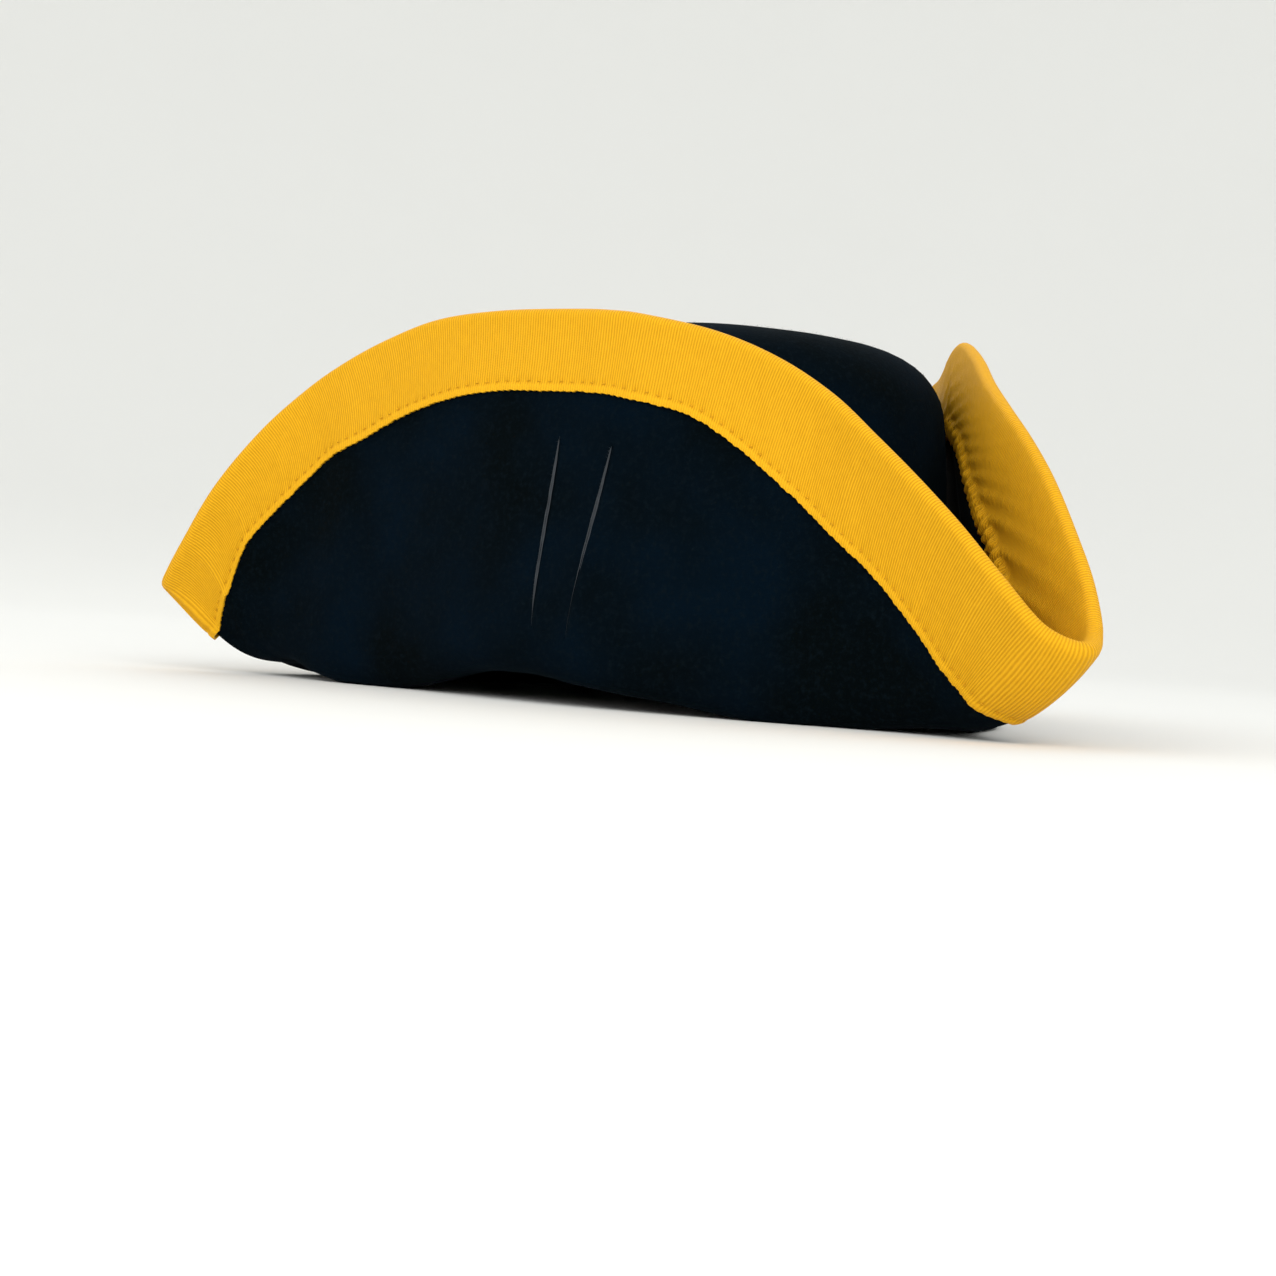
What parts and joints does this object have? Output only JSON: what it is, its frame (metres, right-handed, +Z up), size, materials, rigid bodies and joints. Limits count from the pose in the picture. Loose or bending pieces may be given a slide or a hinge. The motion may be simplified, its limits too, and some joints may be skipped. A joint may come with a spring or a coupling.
{
  "type": "tricorn hat",
  "caption": "Black felt tricorn hat with a rounded crown, a brim turned up on three sides, slits in one flap, and yellow grosgrain ribbon folded over the whole edge of the brim.",
  "frame": {"origin": "on the ground, below the middle of the hat's box, with the hat resting on the folds of its brim", "axes": "+Z up through the crown, -Y towards the front corner, +X towards the wearer's left"},
  "size_m": [0.3296, 0.333, 0.1368],
  "materials": {
    "felt": "black wool felt, matt, with a faint navy cast",
    "ribbon": "golden yellow grosgrain ribbon with fine ribs across it"
  },
  "bodies": {
    "root": {"felt_body": "felt", "edge_binding": "ribbon"}
  },
  "joints": []
}
